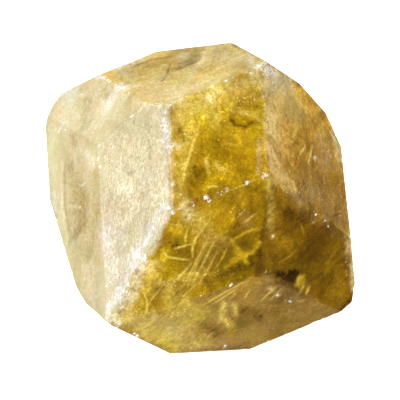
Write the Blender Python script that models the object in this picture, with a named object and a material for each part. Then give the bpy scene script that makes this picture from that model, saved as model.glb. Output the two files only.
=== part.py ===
"""Green garnet: one worn and polished crystal that lies on its base facet.

The stone is a twelve-sided garnet crystal, a rhombic dodecahedron grown out of true,
with its rim worn to smaller facets. It is written down as a gem cutter would: the
direction that each facet faces and its distance from the middle of the stone. A block
is ground on each of those planes, the edges between them are rounded, and then chips
are knocked out of the edges. Units are metres, +Z is up, and the origin is on the
surface that the stone lies on, under the middle of its box.
"""
import math

import bmesh
import bpy
from mathutils import Vector

MM = 0.001

BLOCK_SIZE = 40.0 * MM          # the rough block that the stone is ground from
SAME_POINT = 0.008 * MM         # a cut that passes a corner closer than this goes through it
SLIVER = 0.02 * MM              # points closer than this are merged once the chips are cut

# Each facet: the compass direction it faces (degrees from +X towards +Y), how far it
# leans up from level (degrees) and its distance from the middle of the stone (mm).
FACETS = {
    # the crystal's own faces, from the top round the sides
    "table": (-61.0, 70.0, 8.0),
    "crown_back": (115.5, 53.5, 10.05),
    "crown_left": (170.5, 42.5, 9.4),
    "front_left": (-157.0, 47.5, 8.05),
    "side_left": (-167.5, 26.5, 8.85),
    "side_right": (-9.5, 31.0, 8.42),
    "front": (-64.0, 27.5, 6.85),
    "front_right": (-46.0, 19.8, 7.4),
    "front_foot": (-65.5, 7.0, 7.95),
    "base": (0.0, -90.0, 10.97),
    # the far side and the underside
    "back": (80.5, -6.5, 11.1),
    "back_left": (116.0, -27.5, 13.1),
    "back_foot": (119.0, -68.0, 11.6),
    "right_foot": (31.0, -23.0, 12.75),
    "left_foot": (-158.0, -44.0, 10.45),
    "front_left_foot": (-135.0, -57.5, 10.9),
    # the worn rim
    "rim_back_left": (116.0, 28.0, 12.55),
    "rim_left_corner": (147.5, -17.0, 15.2),
    "rim_left": (171.5, -37.5, 12.35),
    "rim_left_low": (-146.0, -22.5, 12.2),
    "rim_corner_low": (-132.0, -21.5, 12.4),
    "rim_front_low": (-122.0, -25.0, 12.3),
    "rim_right": (4.0, 5.0, 12.05),
    "rim_right_back": (52.5, -10.0, 12.05),
    "rim_back_right": (54.0, 15.0, 12.15),
    "rim_back_top": (54.0, 27.0, 12.25),
}

# How round each edge is worn (radius in mm). Edges not named have the usual wear.
USUAL_WEAR = 0.30
EDGE_WEAR = {
    ("table", "crown_back"): 0.18,
    ("table", "side_right"): 0.22,
    ("table", "front_left"): 0.55,
    ("table", "front"): 0.60,
    ("front", "front_right"): 4.5,
    ("front", "front_foot"): 0.22,
    ("front_right", "front_foot"): 0.22,
    ("front_left", "front"): 0.35,
    ("front_left", "crown_left"): 0.40,
    ("side_left", "crown_left"): 1.2,
    ("side_left", "front_left"): 0.9,
    ("base", "front_foot"): 0.10,
    ("base", "front_right"): 0.08,
    ("right_foot", "front_right"): 0.20,
}
ROUNDING_STEP = 16.0            # degrees that one strip of a rounded edge may turn

# Chips knocked out of the edges: the two facets that share the edge, how far down it
# the chip sits (0 at its upper end, 1 at its lower end), its width and depth (mm), and
# how far it leans to the second facet (-1 to 1).
CHIPS = (
    # the bruised upper half of the edge between the table and the front left facet
    ("table", "front_left", 0.04, 1.70, 0.20, 0.7),
    ("table", "front_left", 0.12, 1.20, 0.13, 1.0),
    ("table", "front_left", 0.20, 1.90, 0.20, 0.9),
    ("table", "front_left", 0.30, 1.30, 0.15, 1.0),
    ("table", "front_left", 0.37, 1.60, 0.15, 0.8),
    ("table", "front_left", 0.46, 1.10, 0.12, 1.0),
    ("table", "front_left", 0.71, 0.80, 0.09, 0.4),
    ("table", "front_left", 0.96, 1.20, 0.15, 0.3),
    # the broken corner at the back of the table
    ("table", "side_right", 0.03, 2.10, 0.30, 0.0),
    ("table", "side_right", 0.14, 1.10, 0.14, 0.6),
    ("table", "side_right", 0.50, 0.60, 0.07, 0.3),
    ("crown_back", "table", 0.92, 1.80, 0.24, -0.5),
    ("crown_back", "table", 0.80, 0.90, 0.10, -0.8),
    ("crown_back", "table", 0.45, 0.70, 0.08, 0.2),
    # the edge between the two crown facets, and the rim behind it
    ("crown_back", "crown_left", 0.44, 1.40, 0.20, -0.5),
    ("crown_back", "crown_left", 0.60, 1.10, 0.14, 0.6),
    ("crown_back", "rim_back_left", 0.52, 1.60, 0.16, -0.4),
    ("crown_left", "front_left", 0.55, 0.80, 0.09, 0.6),
    # down the edge of the front facet to the low corner
    ("front_left", "front", 0.24, 0.80, 0.09, -0.6),
    ("front_left", "front", 0.40, 0.60, 0.07, 0.3),
    ("front_left", "front", 0.53, 1.60, 0.22, 0.3),
    ("front_left", "front", 0.62, 1.20, 0.16, 0.8),
    ("front_left", "front", 0.76, 1.10, 0.12, -0.5),
    ("front_left", "front", 0.97, 2.00, 0.28, 0.0),
    ("side_left", "front_left", 0.95, 1.40, 0.18, 0.3),
    ("side_left", "front_left", 0.36, 0.90, 0.08, 0.0),
    # the edge below the table
    ("table", "front", 0.20, 0.80, 0.10, 0.2),
    ("table", "front", 0.44, 1.20, 0.15, 0.4),
    ("table", "front", 0.56, 0.80, 0.10, -0.5),
    ("table", "front", 0.93, 1.10, 0.14, -0.2),
    # the right side and the foot
    ("side_right", "front_right", 0.46, 0.90, 0.11, 0.4),
    ("side_right", "front_right", 0.60, 0.80, 0.10, -0.4),
    ("side_right", "front_right", 0.74, 1.00, 0.12, 0.4),
    ("front_right", "front_foot", 0.68, 0.80, 0.08, 0.0),
    ("front_foot", "base", 0.72, 1.60, 0.12, -0.8),
    ("rim_front_low", "front_foot", 0.30, 1.00, 0.11, 0.0),
    ("back", "crown_back", 0.35, 1.40, 0.14, -0.8),
    ("back", "back_left", 0.45, 1.60, 0.20, 0.0),
    ("back", "rim_right_back", 0.60, 1.30, 0.18, 0.2),
)
CHIP_DETAIL = 3                 # subdivisions of the ball that leaves a chip

STONE_COLOUR = (0.52, 0.40, 0.06, 1.0)


def facing(azimuth, elevation):
    """Unit vector for a compass direction and a lean up from level, in degrees."""
    level = math.cos(math.radians(elevation))
    return Vector((level * math.cos(math.radians(azimuth)),
                   level * math.sin(math.radians(azimuth)),
                   math.sin(math.radians(elevation))))


def facet_planes():
    """Each facet's outward normal and its distance from the middle, in metres."""
    return {name: (facing(azimuth, elevation), distance * MM)
            for name, (azimuth, elevation, distance) in FACETS.items()}


def rough_block():
    """A cube that holds the whole stone."""
    mesh = bmesh.new()
    bmesh.ops.create_cube(mesh, size=BLOCK_SIZE)
    mesh.faces.layers.int.new("facet")
    return mesh


def grind(mesh, normal, distance, facet_number=0):
    """Take away all that lies beyond one plane and close the cut with a flat face."""
    everything = mesh.verts[:] + mesh.edges[:] + mesh.faces[:]
    cut = bmesh.ops.bisect_plane(mesh, geom=everything, dist=SAME_POINT,
                                 plane_co=normal * distance, plane_no=normal,
                                 clear_outer=True)
    rim = [item for item in cut["geom_cut"] if isinstance(item, bmesh.types.BMEdge)]
    rim = [edge for edge in rim if len(edge.link_faces) == 1]
    if len(rim) < 3:
        return
    cap = bmesh.ops.contextual_create(mesh, geom=rim)["faces"][0]
    cap[mesh.faces.layers.int["facet"]] = facet_number


def ground_stone(planes):
    """The sharp-edged stone. Each face remembers which facet it belongs to."""
    mesh = rough_block()
    for number, (normal, distance) in enumerate(planes.values()):
        grind(mesh, normal, distance, number)
    return mesh


def wear_radius(first, second):
    """How round the edge between two named facets is worn, in metres."""
    named = EDGE_WEAR.get((first, second)) or EDGE_WEAR.get((second, first))
    return (named or USUAL_WEAR) * MM


def rounding_planes(first, second, radius):
    """Planes that round the edge between two facets to the given radius.

    They touch a cylinder that lies along the edge and touches both facets.
    """
    normal_a, distance_a = first
    normal_b, distance_b = second
    turn = normal_a.angle(normal_b)
    strips = max(1, round(math.degrees(turn) / ROUNDING_STEP) - 1)
    for strip in range(1, strips + 1):
        share = strip / (strips + 1)
        part_a = math.sin((1.0 - share) * turn) / math.sin(turn)
        part_b = math.sin(share * turn) / math.sin(turn)
        normal = normal_a * part_a + normal_b * part_b
        axis = part_a * (distance_a - radius) + part_b * (distance_b - radius)
        yield normal, axis + radius


def round_edges(mesh, planes):
    """Wear every edge of the ground stone round."""
    names = list(planes)
    layer = mesh.faces.layers.int["facet"]
    pairs = {tuple(sorted((names[edge.link_faces[0][layer]], names[edge.link_faces[1][layer]])))
             for edge in mesh.edges}
    for first, second in sorted(pairs):
        radius = wear_radius(first, second)
        for normal, distance in rounding_planes(planes[first], planes[second], radius):
            grind(mesh, normal, distance)


def edge_ends(mesh, number_a, number_b):
    """The two ends of the edge that two facets share, the upper one first."""
    layer = mesh.faces.layers.int["facet"]
    for edge in mesh.edges:
        if {face[layer] for face in edge.link_faces} == {number_a, number_b}:
            ends = [vert.co.copy() for vert in edge.verts]
            return sorted(ends, key=lambda end: end.z, reverse=True)
    raise ValueError("these facets share no edge")


def chip_balls(mesh, planes):
    """Centre and radius of the ball that would leave each chip."""
    names = list(planes)
    for first, second, along, width, depth, lean in CHIPS:
        upper, lower = edge_ends(mesh, names.index(first), names.index(second))
        outward = planes[first][0] * (1.0 - lean) + planes[second][0] * (1.0 + lean)
        radius = (width * width / 4.0 + depth * depth) / (2.0 * depth) * MM
        yield upper.lerp(lower, along) + outward.normalized() * (radius - depth * MM), radius


def box_shift(mesh):
    """The move that puts the stone on z = 0 with its box centred on the origin."""
    low = [min(vert.co[axis] for vert in mesh.verts) for axis in range(3)]
    high = [max(vert.co[axis] for vert in mesh.verts) for axis in range(3)]
    return Vector((-(low[0] + high[0]) / 2, -(low[1] + high[1]) / 2, -low[2]))


def garnet_material():
    """Yellow-green clear crystal with a polished surface."""
    material = bpy.data.materials.new("green_garnet")
    material.use_nodes = True
    shader = material.node_tree.nodes["Principled BSDF"]
    shader.inputs["Base Color"].default_value = STONE_COLOUR
    shader.inputs["Metallic"].default_value = 0.0
    shader.inputs["Roughness"].default_value = 0.12
    shader.inputs["IOR"].default_value = 1.74
    return material


def clear_scene():
    for item in list(bpy.data.objects):
        bpy.data.objects.remove(item, do_unlink=True)


def linked_object(name, mesh, collection):
    """An object made from a bmesh, which is freed."""
    bmesh.ops.recalc_face_normals(mesh, faces=mesh.faces[:])
    data = bpy.data.meshes.new(name)
    mesh.to_mesh(data)
    mesh.free()
    item = bpy.data.objects.new(name, data)
    collection.objects.link(item)
    return item


def build_chip_cutters(balls, shift):
    """Balls that are cut out of the stone. They are guides and not part of it."""
    cutters = bpy.data.collections.new("chip_cutters")
    bpy.context.scene.collection.children.link(cutters)
    for number, (centre, radius) in enumerate(balls):
        mesh = bmesh.new()
        bmesh.ops.create_icosphere(mesh, subdivisions=CHIP_DETAIL, radius=radius)
        cutter = linked_object(f"chip_{number:02d}", mesh, cutters)
        cutter.location = centre + shift
        cutter.hide_render = True
        cutter.display_type = "WIRE"
    return cutters


def build_garnet():
    planes = facet_planes()
    mesh = ground_stone(planes)
    balls = list(chip_balls(mesh, planes))
    round_edges(mesh, planes)
    shift = box_shift(mesh)
    bmesh.ops.translate(mesh, verts=mesh.verts[:], vec=shift)
    stone = linked_object("garnet", mesh, bpy.context.scene.collection)
    stone.data.materials.append(garnet_material())
    knock = stone.modifiers.new("chips", "BOOLEAN")
    knock.operation = "DIFFERENCE"
    knock.operand_type = "COLLECTION"
    knock.collection = build_chip_cutters(balls, shift)
    knock.solver = "EXACT"
    tidy = stone.modifiers.new("merge_slivers", "WELD")
    tidy.merge_threshold = SLIVER
    return stone


clear_scene()
build_garnet()
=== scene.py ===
"""Green garnet: the look of one worn, polished crystal that lies on its base facet.

The stone gets a fine mesh on the flat faces of the CAD solid, with bruised and nicked
edges. How each point looks is kept on the mesh: how frosted, hazy and mottled its skin
is, and its colour. What shows in the stone, its clouds, fractures, needles and crumbs,
is drawn into those values as soft strokes, in steps of a picture 400 steps wide. Thin
healed fractures glint inside the clearer places.
"""
import math
import random

import bmesh
import bpy
import numpy as np
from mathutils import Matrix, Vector, noise
from mathutils.bvhtree import BVHTree
from mathutils.geometry import delaunay_2d_cdt
from mathutils.kdtree import KDTree


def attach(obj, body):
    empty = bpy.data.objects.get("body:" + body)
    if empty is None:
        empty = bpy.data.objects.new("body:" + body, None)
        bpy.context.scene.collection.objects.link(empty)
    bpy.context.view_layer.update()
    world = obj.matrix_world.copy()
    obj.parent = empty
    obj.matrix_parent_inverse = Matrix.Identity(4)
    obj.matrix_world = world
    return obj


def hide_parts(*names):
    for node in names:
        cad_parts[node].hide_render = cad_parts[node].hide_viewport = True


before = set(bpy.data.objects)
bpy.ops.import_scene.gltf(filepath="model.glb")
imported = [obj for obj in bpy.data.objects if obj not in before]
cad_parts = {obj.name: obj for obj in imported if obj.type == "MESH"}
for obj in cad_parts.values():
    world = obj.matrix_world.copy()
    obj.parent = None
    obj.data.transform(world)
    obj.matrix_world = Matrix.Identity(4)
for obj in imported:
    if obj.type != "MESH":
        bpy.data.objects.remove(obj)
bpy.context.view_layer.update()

MM = 0.001

# the fine mesh
FINE = 0.13 * MM                # spacing of the points close to a worn edge
COARSE = 3                      # further inside a hidden facet, one row in three is kept
FRONT_FINE = 0.135 * MM         # spacing of the points on the facets seen from the front
LINE_FINE = 0.068 * MM          # spacing of the points along a thin line drawn in the stone
THIN = 1.7                      # half width of the widest such line, in picture steps
EDGE_ZONE = 0.5 * MM            # how far the close spacing reaches from an edge
ROW_HEIGHT = 0.866              # height of a row of even triangles, per side

# the wear
CREASE = math.radians(11.0)     # a sharper turn than this is a worn edge
WORN_REACH = 0.7 * MM           # how far from an edge the stone can be worn
WORN_STRETCH = 1.6 * MM         # size of the more and the less worn stretches of an edge
RUBBED_AND_HIGHLIGHT_REACH = 0.22 * MM        # how far from an edge the skin is rubbed hazy and lit by a painted highlight
BATTERED_REACH = 0.6 * MM       # how far a blow to an edge is felt
NICKS = 260
NICK_RADII = (0.08, 0.11, 0.15, 0.22)       # in millimetres
NICK_DEPTHS = (0.12, 0.3)       # the least and the most, as a share of the radius
SLIVER_AREA = 8.0 * MM * MM     # a smaller face is part of a worn edge or chip
SHARP = math.radians(24.0)      # a sharper turn than this isn't smoothed over

# the healed fractures inside
VEILS = 26
VEIL_REGION = ((-12, 12), (-11, 11), (1, 20))   # where their middles may be, in millimetres
VEIL_RADII = (2.0, 4.5)         # the least and the most, in millimetres
VEIL_DEPTH = 0.75               # how deep its middle has to be, as a share of its radius
VEIL_RINGS, VEIL_SPOKES = 14, 40
VEIL_CRUMPLE = 0.22             # height of its folds, as a share of its radius
VEIL_MARGIN = 0.15 * MM         # how far a veil stays under the stone's surface

# the light
REFRACTION = 1.74
WHITE = (1.0, 1.0, 1.0, 1.0)
BASE_MIDDLE = (0.0035, -0.0005, 0.0)


def direction(azimuth, elevation):
    """Unit vector for a compass direction and a lean up from level, in degrees."""
    level = math.cos(math.radians(elevation))
    return Vector((level * math.cos(math.radians(azimuth)),
                   level * math.sin(math.radians(azimuth)),
                   math.sin(math.radians(elevation))))


# ---------------------------------------------------------------- the picture

MIDDLE = Vector((-0.125, -0.359, 10.97)) * MM
VIEW_LEAN = math.radians(60.0)  # how far down the camera looks
VIEW_DISTANCE = 200.0 * MM
STONE_WIDTH, STONE_STEPS = 25.0 * MM, 306.0
STEP = STONE_WIDTH / STONE_STEPS            # one picture step, at the middle of the stone
MIDDLE_ACROSS, MIDDLE_DOWN = 199.0, 198.0   # where the middle of the stone is in the picture
TOWARDS = Vector((0.0, -math.cos(VIEW_LEAN), math.sin(VIEW_LEAN)))
UP = Vector((0.0, math.sin(VIEW_LEAN), math.cos(VIEW_LEAN)))
EYE = MIDDLE + TOWARDS * VIEW_DISTANCE


def surface_at(across, down):
    """Where the stone's surface is at a place in the picture."""
    level = Vector(((across - MIDDLE_ACROSS) * STEP, 0.0, 0.0))
    spot = MIDDLE + level + UP * (MIDDLE_DOWN - down) * STEP
    return skin.ray_cast(EYE, (spot - EYE).normalized())[0]


def pictured(spots):
    """Where points stand in the picture, in picture steps."""
    away = spots - np.array(EYE[:])
    depth = -(away @ np.array(TOWARDS[:])) / VIEW_DISTANCE
    return np.stack((MIDDLE_ACROSS + away[:, 0] / depth / STEP,
                     MIDDLE_DOWN - (away @ np.array(UP[:])) / depth / STEP), axis=1)


def faces_the_view(face):
    return face.normal.dot(EYE - face.calc_center_median()) > 0.0


# ---------------------------------------------------------------- the stone's fine mesh

def flat_faces(node):
    """The CAD solid with its triangles joined into flat faces."""
    source = bmesh.new()
    source.from_mesh(bpy.data.objects[node].data)
    bmesh.ops.remove_doubles(source, verts=source.verts[:], dist=1e-7)
    bmesh.ops.dissolve_limit(source, angle_limit=math.radians(0.4),
                             verts=source.verts[:], edges=source.edges[:])
    source.verts.index_update()
    source.edges.index_update()
    source.faces.index_update()
    return source


def points_along(edge, points):
    """Numbers of the points from one end of an edge to the other, made as needed."""
    start, end = edge.verts
    pieces = max(1, round(edge.calc_length() / FINE))
    row = [start.index]
    for step in range(1, pieces):
        points.append(start.co.lerp(end.co, step / pieces))
        row.append(len(points) - 1)
    row.append(end.index)
    return row


def along_and_away(places, path):
    """How far each 2-D place is along a path, from 0 to 1, and how far off it."""
    best, along = np.full(len(places), 1e9), np.zeros(len(places))
    lengths = np.linalg.norm(path[1:] - path[:-1], axis=1)
    before, whole = 0.0, max(lengths.sum(), 1e-9)
    for start, end, length in zip(path, path[1:], lengths):
        way = end - start
        share = np.clip(((places - start) @ way) / max(length * length, 1e-12), 0.0, 1.0)
        away = np.linalg.norm(places - start - share[:, None] * way, axis=1)
        nearer = away < best
        best[nearer] = away[nearer]
        along[nearer] = ((before + share * length) / whole)[nearer]
        before += length
    return along, best


def inside_polygon(spots, corners):
    """Which 2-D spots lie inside a polygon."""
    inside = np.zeros(len(spots), bool)
    for (x0, y0), (x1, y1) in zip(corners, np.roll(corners, -1, axis=0)):
        if y0 == y1:
            continue
        crosses = (y0 > spots[:, 1]) != (y1 > spots[:, 1])
        at = x0 + (spots[:, 1] - y0) / (y1 - y0) * (x1 - x0)
        inside ^= crosses & (spots[:, 0] < at)
    return inside


def inner_spots(corners, rng, spacing, thin_out):
    """Scattered points inside a flat polygon, close together near its rim."""
    low, high = corners.min(axis=0), corners.max(axis=0)
    columns = int((high[0] - low[0]) / spacing) + 2
    rows = int((high[1] - low[1]) / (spacing * ROW_HEIGHT)) + 2
    column, row = np.meshgrid(np.arange(columns), np.arange(rows))
    column, row = column.ravel(), row.ravel()
    spots = np.stack((low[0] + (column + 0.5 * (row % 2)) * spacing,
                      low[1] + row * spacing * ROW_HEIGHT), axis=1)
    spots += rng.uniform(-0.22, 0.22, spots.shape) * spacing
    keep = inside_polygon(spots, corners)
    spots, column, row = spots[keep], column[keep], row[keep]
    if not len(spots):
        return spots
    _, away = along_and_away(spots, np.vstack((corners, corners[:1])))
    kept = away > 0.55 * spacing
    if thin_out:
        kept &= (away < EDGE_ZONE) | ((column % COARSE == 0) & (row % COARSE == 0))
    return spots[kept]


def strokes_of(drawing):
    """The ink, half width, strength and path of each stroke, in the order of drawing."""
    for ink, *strokes in drawing:
        for width, strength, *path in strokes:
            yield ink, width, strength, np.array(path, dtype=float).reshape(-1, 2)


def on_a_thin_line(places):
    """Which places in the picture lie on or close beside a thin line."""
    close = np.zeros(len(places), bool)
    for _, width, _, path in strokes_of(LINES):
        if width <= THIN:
            close |= along_and_away(places, path)[1] < 1.5 * width + 0.7
    return close


def front_spots(corners, rng, in_space):
    """Points of a facet seen from the front, closer together along the thin lines."""
    wide = inner_spots(corners, rng, FRONT_FINE, False)
    wide = wide[~on_a_thin_line(pictured(in_space(wide)))]
    close = inner_spots(corners, rng, LINE_FINE, False)
    return np.vstack((wide, close[on_a_thin_line(pictured(in_space(close)))]))


def fill_face(face, rows, points, faces, rng):
    """Triangulate one flat face on its shared edge points and scattered inner ones."""
    ring = []
    for loop in face.loops:
        row = rows[loop.edge.index]
        ring += row[:-1] if loop.edge.verts[0] is loop.vert else row[:0:-1]
    across = face.loops[0].edge.verts[1].co - face.loops[0].edge.verts[0].co
    across = (across - across.project(face.normal)).normalized()
    up = face.normal.cross(across)
    centre = face.calc_center_median()
    corners = np.array([((points[i] - centre).dot(across), (points[i] - centre).dot(up))
                        for i in ring])
    if faces_the_view(face):
        axes = np.array((across[:], up[:]))
        spots = front_spots(corners, rng, lambda flat: np.array(centre[:]) + flat @ axes)
    else:
        spots = inner_spots(corners, rng, FINE, True)
    flat = [Vector((x / MM, y / MM)) for x, y in np.vstack((corners, spots))]
    _, _, triangles, origins, _, _ = delaunay_2d_cdt(flat, [], [list(range(len(ring)))], 1, 1e-6)
    number = dict(enumerate(ring))
    for index, (x, y) in enumerate(spots):
        points.append(centre + across * x + up * y)
        number[len(ring) + index] = len(points) - 1
    for triangle in triangles:
        corner = [number[origins[i][0]] for i in triangle]
        if len(set(corner)) == 3:
            faces.append((corner, face.index))


def fine_mesh(source):
    """Points, triangles and each triangle's flat face."""
    rng = np.random.default_rng(5)
    points = [vert.co.copy() for vert in source.verts]
    rows = {edge.index: points_along(edge, points) for edge in source.edges}
    faces = []
    for face in source.faces:
        fill_face(face, rows, points, faces, rng)
    return points, faces


# ---------------------------------------------------------------- wear

# Battered stretches of edge: from and to, in picture steps, and how badly.
BATTERED = (
    ((167, 108), (171, 160), 0.4), ((171, 160), (172, 205), 0.25), ((171, 208), (140, 262), 0.2),
    ((140, 262), (112, 318), 0.35), ((112, 318), (106, 306), 0.4), ((262, 66), (265, 63), 0.8),
    ((262, 66), (250, 71), 0.5), ((263, 66), (266, 90), 0.25), ((103, 78), (126, 88), 0.5),
    ((172, 209), (200, 203), 0.15), ((215, 197), (226, 192), 0.1), ((150, 103), (166, 106), 0.35),
)


def crease_points(source):
    """Points along the sharp edges of the solid."""
    spots = []
    for edge in source.edges:
        if edge.calc_face_angle(0.0) > CREASE:
            start, end = edge.verts[0].co, edge.verts[1].co
            pieces = max(1, round(edge.calc_length() / (0.5 * FINE)))
            spots += [start.lerp(end, step / pieces) for step in range(pieces + 1)]
    return spots


def battering(point):
    """How battered an edge is at a point, from 0 to 1."""
    worst = 0.0
    for start, end, amount in battered_stretches:
        along = end - start
        share = min(1.0, max(0.0, (point - start).dot(along) / along.length_squared))
        away = (point - start - along * share).length
        worst = max(worst, amount * math.exp(-(away / BATTERED_REACH) ** 2))
    return worst


def tree_of(spots):
    tree = KDTree(len(spots))
    for number, spot in enumerate(spots):
        tree.insert(spot, number)
    tree.balance()
    return tree


def point_normals(spots, triangles):
    """Area-weighted normal at every point."""
    corner = spots[triangles]
    normal = np.cross(corner[:, 1] - corner[:, 0], corner[:, 2] - corner[:, 0])
    total = np.zeros_like(spots)
    for side in range(3):
        np.add.at(total, triangles[:, side], normal)
    return total / np.maximum(np.linalg.norm(total, axis=1), 1e-20)[:, None]


def bumpy(spot, size, seed=0.0):
    """Smooth noise, -1 to 1, with bumps of the given size."""
    return noise.noise(spot / size + Vector((seed, 2.7 * seed, -seed)))


def rub_the_edges(points, creases):
    """How bruised each point is, how much it belongs to an edge, and how far it is worn in."""
    edge_tree = tree_of(creases)
    bruise, edge, shift = np.zeros((3, len(points)))
    for number, point in enumerate(points):
        away = edge_tree.find(point)[2]
        if away < WORN_REACH:
            worn = max(0.0, 0.4 + 0.8 * bumpy(point, WORN_STRETCH))
            battered = battering(point)
            reach = (0.12 + 0.08 * worn * worn + 0.28 * battered) * MM
            here = math.exp(-(away / reach) ** 2)
            rough = 0.5 + 0.5 * bumpy(point, 0.22 * MM, 3.0)
            bruise[number] = here * min(1.0, 0.10 * worn + 0.55 * battered)
            edge[number] = math.exp(-(away / RUBBED_AND_HIGHLIGHT_REACH) ** 2)
            shift[number] = here * (0.2 * worn + battered) * (0.004 + 0.014 * rough * rough) * MM
    return bruise, edge, shift


def nick_the_edges(points, creases, bruise, shift):
    """Knock small dents into the edges, each with a bruised floor."""
    rng = random.Random(11)
    point_tree = tree_of(points)
    for _ in range(NICKS):
        centre = creases[rng.randrange(len(creases))]
        radius = rng.choice(NICK_RADII) * rng.uniform(0.7, 1.2) * MM
        depth = radius * rng.uniform(*NICK_DEPTHS)
        for point, number, away in point_tree.find_range(centre, radius):
            dent = 1.0 - (away / radius) ** 2
            uneven = 0.7 + 0.5 * bumpy(point, 0.15 * MM, 7.0)
            shift[number] = max(shift[number], depth * dent * uneven)
            bruise[number] = max(bruise[number], min(1.0, 1.5 * dent) * uneven)


def wear_the_edges(points, triangles, creases):
    """The worn points, how bruised each is and how much it belongs to an edge."""
    spots = np.array([point[:] for point in points])
    bruise, edge, shift = rub_the_edges(points, creases)
    nick_the_edges(points, creases, bruise, shift)
    spots -= point_normals(spots, triangles) * shift[:, None]
    return spots, np.clip(bruise, 0.0, 1.0), edge


# ---------------------------------------------------------------- the looks of the facets

# What is kept for each point of the stone: how much light falls there, how matt it is,
# how much haze there is in its skin, how strongly it is mottled, whether growth pits
# etch it, and the colour it shows.
LIGHT, FROST, HAZE, MOTTLED, ETCHED = range(5)
TONE = slice(5, 8)
LOOKS = 8

# The polished facets: the compass direction each faces and its lean up, then its light,
# frost, haze, mottling and colour.
POLISHED = {
    "table": (-61.0, 70.0, 0.80, 0.0, 0.72, 1.0, (0.53, 0.316, 0.003)),
    "crown_back": (115.5, 53.5, 0.97, 0.15, 0.94, 0.42, (0.842, 0.604, 0.172)),
    # crown_left, front_left and side_left: their pale cream colour and thick haze are partly painted sheen,
    # the light these facets reflect, and partly hazy, frosted skin
    "crown_left": (170.5, 42.5, 1.23, 0.25, 0.95, 0.2, (0.84, 0.73, 0.43)),
    "front_left": (-157.0, 47.5, 1.49, 1.0, 0.97, 0.35, (0.85, 0.72, 0.40)),
    "side_left": (-167.5, 26.5, 1.34, 0.1, 0.95, 0.15, (0.78, 0.66, 0.36)),
    "side_right": (-9.5, 31.0, 0.64, 0.2, 0.92, 0.9, (0.42, 0.218, 0.024)),
    "front": (-64.0, 27.5, 0.83, 0.05, 0.74, 1.1, (0.388, 0.224, 0.0015)),
    "front_right": (-46.0, 19.8, 0.93, 0.1, 0.76, 1.1, (0.217, 0.10, 0.0005)),
    "front_foot": (-65.5, 7.0, 1.06, 0.2, 0.90, 0.45, (0.366, 0.216, 0.035)),
    "rim_right": (4.0, 5.0, 0.38, 0.3, 0.9, 0.5, (0.40, 0.28, 0.13)),
}
# All the other facets are alike, and etched.
HIDDEN = (1.0, 0.15, 0.62, 1.2, 1.0, 0.56, 0.37, 0.03)
SAME_FACET = 0.97               # how nearly a face has to face a facet's way
SPREADS = 3                     # how many faces deep the looks spread into a worn edge
# the haze rubbed into every edge, which also stands as a painted highlight along it
EDGE_HAZE_AND_HIGHLIGHT = 0.92
BRIGHTEST = 0.96                # no colour channel goes above this


def values_of_faces(source):
    """The row of looks of each flat face. The narrow ones take after their neighbours."""
    rows = {}
    for face in source.faces:
        for azimuth, elevation, light, frost, haze, mottled, tone in POLISHED.values():
            if face.normal.dot(direction(azimuth, elevation)) > SAME_FACET:
                rows[face.index] = np.array((light, frost, haze, mottled, 0.0, *tone))
    for _ in range(SPREADS):
        found = {}
        for face in source.faces:
            if face.index not in rows and face.calc_area() < SLIVER_AREA:
                beside = [rows[other.index] for edge in face.edges for other in edge.link_faces
                          if other.index in rows]
                if beside:
                    found[face.index] = np.mean(beside, axis=0)
        rows.update(found)
    return [rows.get(face.index, np.array(HIDDEN)) for face in source.faces]


def facet_values(source, faces, count):
    """The looks of the stone at each point, the mean of the faces around it."""
    value = values_of_faces(source)
    total, times = np.zeros((count, LOOKS)), np.zeros(count)
    for corner, face in faces:
        for number in corner:
            total[number] += value[face]
            times[number] += 1
    return total / np.maximum(times, 1)[:, None]


# ---------------------------------------------------------------- what shows in the stone

# What is drawn under the skin: its colour, how opaque it is, and how mottled.
INKS = {
    "white": ((1.0, 0.98, 0.93), 1.0, 0.2),
    "cream": ((0.92, 0.82, 0.50), 0.95, 0.4),
    "flaxen": ((0.76, 0.55, 0.075), 0.95, 0.4),
    "sand": ((0.66, 0.47, 0.17), 0.95, 0.4),
    "straw": ((0.76, 0.55, 0.085), 0.9, 0.7),
    "gold": ((0.80, 0.50, 0.015), 0.9, 0.6),
    "apricot": ((0.55, 0.32, 0.035), 0.85, 0.7),
    "amber": ((0.50, 0.27, 0.005), 0.75, 0.9),
    "olive": ((0.205, 0.109, 0.001), 0.75, 0.9),
    "brown": ((0.10, 0.046, 0.001), 0.85, 0.9),
    "black": ((0.022, 0.010, 0.001), 0.95, 0.5),
    "tan": ((0.36, 0.24, 0.08), 0.9, 0.6),
    "honey": ((0.64, 0.38, 0.075), 0.95, 0.6),
    "bronze": ((0.315, 0.166, 0.004), 0.85, 0.9),
    "wheat": ((0.70, 0.52, 0.19), 0.95, 0.5),
    "moss": ((0.47, 0.32, 0.02), 0.9, 0.7),
    "umber": ((0.255, 0.134, 0.025), 0.9, 0.8),
    "ivory": ((0.88, 0.79, 0.58), 0.95, 0.3),
    # rose and lilac are painted sheen: the pinkish shimmer of light on the skin, not its own colour
    "rose": ((0.86, 0.68, 0.52), 0.95, 0.4),
    "lilac": ((0.72, 0.64, 0.55), 0.95, 0.5),
    "lemon": ((0.90, 0.80, 0.46), 0.9, 0.2),
}

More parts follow.
